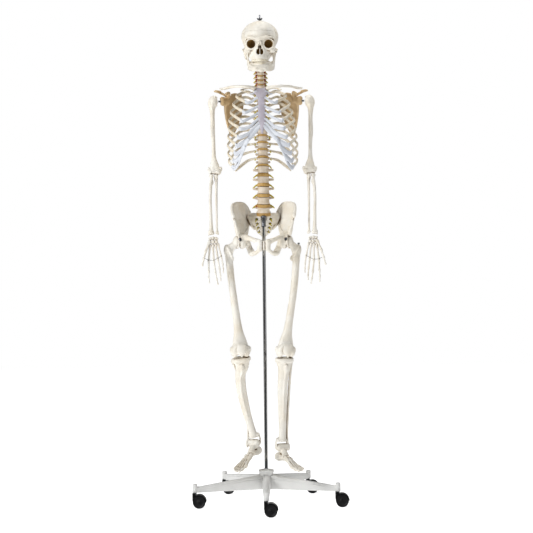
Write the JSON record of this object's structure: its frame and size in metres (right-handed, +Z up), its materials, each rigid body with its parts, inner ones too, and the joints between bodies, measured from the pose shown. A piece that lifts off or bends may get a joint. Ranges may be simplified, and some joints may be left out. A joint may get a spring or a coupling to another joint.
{
  "type": "anatomical skeleton model",
  "caption": "Life-size human skeleton teaching model on a pelvic pole with a five-leg rolling base and casters; jaw, skull cap, head, arms and legs move.",
  "frame": {"origin": "centre of the object's footprint box, on the floor", "axes": "+Z up along the pole; the skeleton faces -Y, so its left side is +X"},
  "size_m": [0.5598, 0.5208, 1.765],
  "materials": {
    "bone": "satin",
    "cartilage": "satin",
    "disc": "satin",
    "sternum_grey": "satin",
    "nerve_yellow": "satin",
    "artery_red": "gloss",
    "base_plastic": "satin",
    "pole_chrome": "polished",
    "fitting_steel": "satin",
    "caster_black": "satin",
    "tread_rubber": "matte"
  },
  "bodies": {
    "stand": {"star_base": "base_plastic", "pole": "pole_chrome", "pole_collar": "base_plastic"},
    "caster_hood_1": {"caster_hood_1": "caster_black"},
    "caster_wheel_1": {"caster_wheel_1": "tread_rubber"},
    "caster_hood_2": {"caster_hood_2": "caster_black"},
    "caster_wheel_2": {"caster_wheel_2": "tread_rubber"},
    "caster_hood_3": {"caster_hood_3": "caster_black"},
    "caster_wheel_3": {"caster_wheel_3": "tread_rubber"},
    "caster_hood_4": {"caster_hood_4": "caster_black"},
    "caster_wheel_4": {"caster_wheel_4": "tread_rubber"},
    "caster_hood_5": {"caster_hood_5": "caster_black"},
    "caster_wheel_5": {"caster_wheel_5": "tread_rubber"},
    "torso": {"pelvic_socket": "fitting_steel", "sacrum": "bone", "coccyx": "bone", "right_hip_bone": "bone", "left_hip_bone": "bone", "pubic_symphysis": "cartilage", "lumbar_spine": "bone", "thoracic_vertebrae_and_ribs_1_2": "bone", "thoracic_vertebrae_and_ribs_3_4": "bone", "thoracic_vertebrae_and_ribs_5_6": "bone", "thoracic_vertebrae_and_ribs_7_8": "bone", "thoracic_vertebrae_and_ribs_9_10": "bone", "thoracic_vertebrae_and_ribs_11_12": "bone", "sternum_and_cartilages": "cartilage", "cervical_spine": "bone", "right_scapula": "bone", "left_scapula": "bone", "right_clavicle": "bone", "left_clavicle": "bone"},
    "atlas": {"atlas": "bone"},
    "skull": {"skull_base": "bone", "head_rod": "fitting_steel"},
    "skull_cap": {"skull_cap": "bone"},
    "wing_nut": {"wing_nut": "fitting_steel"},
    "mandible": {"mandible": "bone"},
    "right_shoulder_bolt": {"right_shoulder_bolt": "fitting_steel"},
    "right_upper_arm": {"right_humerus": "bone"},
    "right_forearm": {"right_radius": "bone", "right_ulna": "bone"},
    "right_hand": {"right_hand": "bone"},
    "right_hip_bolt": {"right_hip_bolt": "fitting_steel"},
    "right_thigh": {"right_femur": "bone", "right_patella": "bone"},
    "right_lower_leg": {"right_tibia": "bone", "right_fibula": "bone"},
    "right_foot": {"right_foot": "bone"},
    "left_shoulder_bolt": {"left_shoulder_bolt": "fitting_steel"},
    "left_upper_arm": {"left_humerus": "bone"},
    "left_forearm": {"left_radius": "bone", "left_ulna": "bone"},
    "left_hand": {"left_hand": "bone"},
    "left_hip_bolt": {"left_hip_bolt": "fitting_steel"},
    "left_thigh": {"left_femur": "bone", "left_patella": "bone"},
    "left_lower_leg": {"left_tibia": "bone", "left_fibula": "bone"},
    "left_foot": {"left_foot": "bone"}
  },
  "joints": [
    {"name": "caster_swivel_1", "type": "hinge", "parent": "stand", "child": "caster_hood_1", "pos_m": [-0.016, -0.2424, 0.08], "axis": [0, 0, 1], "continuous": true},
    {"name": "caster_roll_1", "type": "hinge", "parent": "caster_hood_1", "child": "caster_wheel_1", "pos_m": [-0.001, -0.2424, 0.023], "axis": [0, 1, 0], "continuous": true},
    {"name": "caster_swivel_2", "type": "hinge", "parent": "stand", "child": "caster_hood_2", "pos_m": [0.23888, -0.05722, 0.08], "axis": [0, 0, 1], "continuous": true},
    {"name": "caster_roll_2", "type": "hinge", "parent": "caster_hood_2", "child": "caster_wheel_2", "pos_m": [0.25388, -0.05722, 0.023], "axis": [0, 1, 0], "continuous": true},
    {"name": "caster_swivel_3", "type": "hinge", "parent": "stand", "child": "caster_hood_3", "pos_m": [0.14153, 0.24242, 0.08], "axis": [0, 0, 1], "continuous": true},
    {"name": "caster_roll_3", "type": "hinge", "parent": "caster_hood_3", "child": "caster_wheel_3", "pos_m": [0.15653, 0.24242, 0.023], "axis": [0, 1, 0], "continuous": true},
    {"name": "caster_swivel_4", "type": "hinge", "parent": "stand", "child": "caster_hood_4", "pos_m": [-0.17353, 0.24242, 0.08], "axis": [0, 0, 1], "continuous": true},
    {"name": "caster_roll_4", "type": "hinge", "parent": "caster_hood_4", "child": "caster_wheel_4", "pos_m": [-0.15853, 0.24242, 0.023], "axis": [0, 1, 0], "continuous": true},
    {"name": "caster_swivel_5", "type": "hinge", "parent": "stand", "child": "caster_hood_5", "pos_m": [-0.27088, -0.05722, 0.08], "axis": [0, 0, 1], "continuous": true},
    {"name": "caster_roll_5", "type": "hinge", "parent": "caster_hood_5", "child": "caster_wheel_5", "pos_m": [-0.25588, -0.05722, 0.023], "axis": [0, 1, 0], "continuous": true},
    {"name": "torso_turn", "type": "hinge", "parent": "stand", "child": "torso", "pos_m": [-0.016, 0.0256, 1.032], "axis": [0, 0, 1], "continuous": true},
    {"name": "head_turn", "type": "hinge", "parent": "torso", "child": "atlas", "pos_m": [-0.023, 0.0276, 1.599], "axis": [0, 0, 1], "range_deg": [-60, 60]},
    {"name": "head_nod", "type": "hinge", "parent": "atlas", "child": "skull", "pos_m": [-0.023, 0.0316, 1.613], "axis": [1, 0, 0], "range_deg": [-8, 14]},
    {"name": "jaw_open", "type": "hinge", "parent": "skull", "child": "mandible", "pos_m": [-0.023, 0.0146, 1.63], "axis": [1, 0, 0], "range_deg": [0, 20], "stiffness_Nm_per_rad": 0.12, "springref_deg": -40.11},
    {"name": "cap_lift", "type": "slide", "parent": "skull", "child": "skull_cap", "axis": [0, 0, 1], "range_m": [0, 0.05]},
    {"name": "wing_nut_turn", "type": "hinge", "parent": "skull_cap", "child": "wing_nut", "pos_m": [-0.023, 0.0256, 1.749], "axis": [0, 0, 1], "continuous": true},
    {"name": "right_shoulder_raise", "type": "hinge", "parent": "torso", "child": "right_shoulder_bolt", "pos_m": [-0.1921, 0.0296, 1.455], "axis": [0, 1, 0], "range_deg": [0, 80]},
    {"name": "right_shoulder_swing", "type": "hinge", "parent": "right_shoulder_bolt", "child": "right_upper_arm", "pos_m": [-0.1921, 0.0296, 1.455], "axis": [-1, 0, 0], "range_deg": [-20, 45]},
    {"name": "right_elbow", "type": "hinge", "parent": "right_upper_arm", "child": "right_forearm", "pos_m": [-0.193, 0.0416, 1.201], "axis": [-1, 0, 0], "range_deg": [0, 80]},
    {"name": "right_wrist", "type": "hinge", "parent": "right_forearm", "child": "right_hand", "pos_m": [-0.194, -0.0344, 0.97], "axis": [-1, 0, 0], "range_deg": [-30, 30]},
    {"name": "right_hip_raise", "type": "hinge", "parent": "torso", "child": "right_hip_bolt", "pos_m": [-0.105, -0.0094, 0.95], "axis": [0, 1, 0], "range_deg": [0, 30]},
    {"name": "right_hip_swing", "type": "hinge", "parent": "right_hip_bolt", "child": "right_thigh", "pos_m": [-0.105, -0.0094, 0.95], "axis": [-0.9903, -0.1392, -0.0005], "range_deg": [-10, 70]},
    {"name": "right_knee", "type": "hinge", "parent": "right_thigh", "child": "right_lower_leg", "pos_m": [-0.101, -0.0364, 0.556], "axis": [0.9903, 0.1392, 0.0005], "range_deg": [-8, 75]},
    {"name": "right_ankle", "type": "hinge", "parent": "right_lower_leg", "child": "right_foot", "pos_m": [-0.062, 0.0556, 0.216], "axis": [0.9135, -0.4067, 0], "range_deg": [-15, 6]},
    {"name": "left_shoulder_raise", "type": "hinge", "parent": "torso", "child": "left_shoulder_bolt", "pos_m": [0.1519, 0.0296, 1.455], "axis": [0, -1, 0], "range_deg": [0, 80]},
    {"name": "left_shoulder_swing", "type": "hinge", "parent": "left_shoulder_bolt", "child": "left_upper_arm", "pos_m": [0.1519, 0.0296, 1.455], "axis": [-1, 0, 0], "range_deg": [-20, 45]},
    {"name": "left_elbow", "type": "hinge", "parent": "left_upper_arm", "child": "left_forearm", "pos_m": [0.155, 0.0416, 1.201], "axis": [-1, 0, 0], "range_deg": [0, 80]},
    {"name": "left_wrist", "type": "hinge", "parent": "left_forearm", "child": "left_hand", "pos_m": [0.157, -0.0344, 0.97], "axis": [-1, 0, 0], "range_deg": [-30, 30]},
    {"name": "left_hip_raise", "type": "hinge", "parent": "torso", "child": "left_hip_bolt", "pos_m": [0.067, -0.0094, 0.95], "axis": [0, -1, 0], "range_deg": [0, 30]},
    {"name": "left_hip_swing", "type": "hinge", "parent": "left_hip_bolt", "child": "left_thigh", "pos_m": [0.067, -0.0094, 0.95], "axis": [-0.9608, -0.2744, 0.0394], "range_deg": [-10, 70]},
    {"name": "left_knee", "type": "hinge", "parent": "left_thigh", "child": "left_lower_leg", "pos_m": [0.055, -0.0244, 0.553], "axis": [0.9608, 0.2744, -0.0394], "range_deg": [-8, 75]},
    {"name": "left_ankle", "type": "hinge", "parent": "left_lower_leg", "child": "left_foot", "pos_m": [0.044, 0.0336, 0.202], "axis": [0.9135, 0.4067, 0], "range_deg": [-15, 6]}
  ]
}
